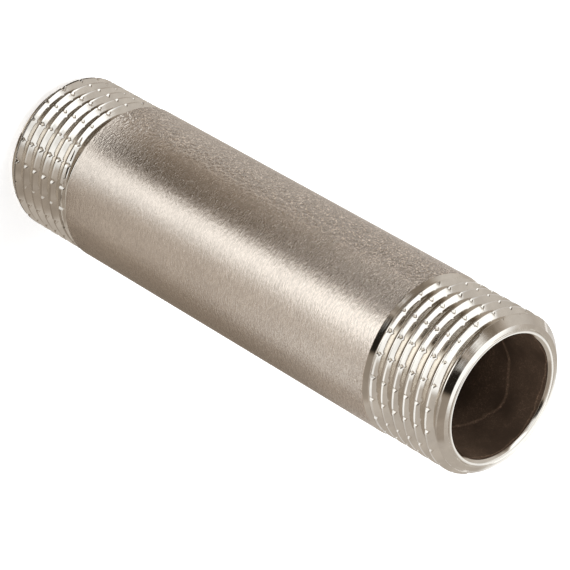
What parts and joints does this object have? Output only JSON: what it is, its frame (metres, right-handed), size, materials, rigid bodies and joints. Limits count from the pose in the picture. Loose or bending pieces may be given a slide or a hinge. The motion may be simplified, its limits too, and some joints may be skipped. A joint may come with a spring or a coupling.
{
  "type": "barrel nipple",
  "caption": "Straight nickel-plated pipe nipple with a plain satin barrel and a male parallel pipe thread on each end, open right through.",
  "frame": {"origin": "centre of the lower end face, on the pipe's axis", "axes": "+Z along the pipe's axis to its upper end, with the picture's camera on the -Y side"},
  "size_m": [0.0212, 0.0212, 0.08],
  "materials": {
    "nickel_plate": "nickel-plated brass, satin brushed on the barrel and bright on the threads"
  },
  "bodies": {
    "root": {"barrel_nipple": "nickel_plate"}
  },
  "joints": []
}
